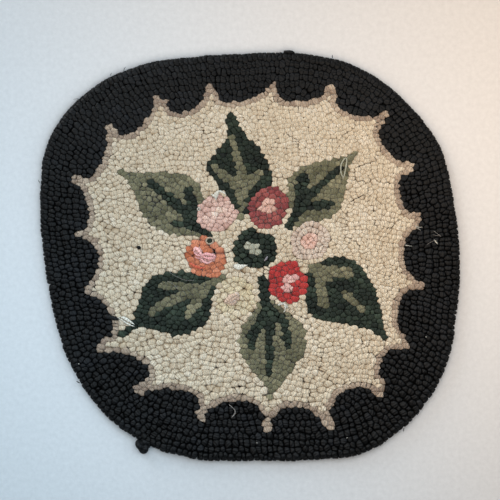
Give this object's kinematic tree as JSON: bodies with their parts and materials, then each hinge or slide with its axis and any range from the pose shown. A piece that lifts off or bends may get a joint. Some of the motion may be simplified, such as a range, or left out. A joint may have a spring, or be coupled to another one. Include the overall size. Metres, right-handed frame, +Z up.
{
  "type": "hooked chair pad",
  "caption": "Flat rounded-square seat pad hooked from jersey strips, with leaves and round flowers on a pale scalloped field inside a dark border.",
  "frame": {"origin": "on the floor under the middle of the mat's outline", "axes": "+Z up through the mat, +Y towards the top of its pattern, +X to the pattern's right"},
  "size_m": [0.368, 0.3578, 0.0096],
  "materials": {
    "border_jersey": "matte black jersey loops with a faint nap",
    "ground_jersey": "matte cream jersey loops, edged with one row of pinkish tan",
    "leaf_jersey": "matte sage and dark green jersey loops",
    "flower_jersey": "matte red, raspberry, orange, pink and blush jersey loops",
    "foundation_cloth": "plain coarse natural weave"
  },
  "bodies": {
    "root": {"hooked_mat": "border_jersey"}
  },
  "joints": []
}
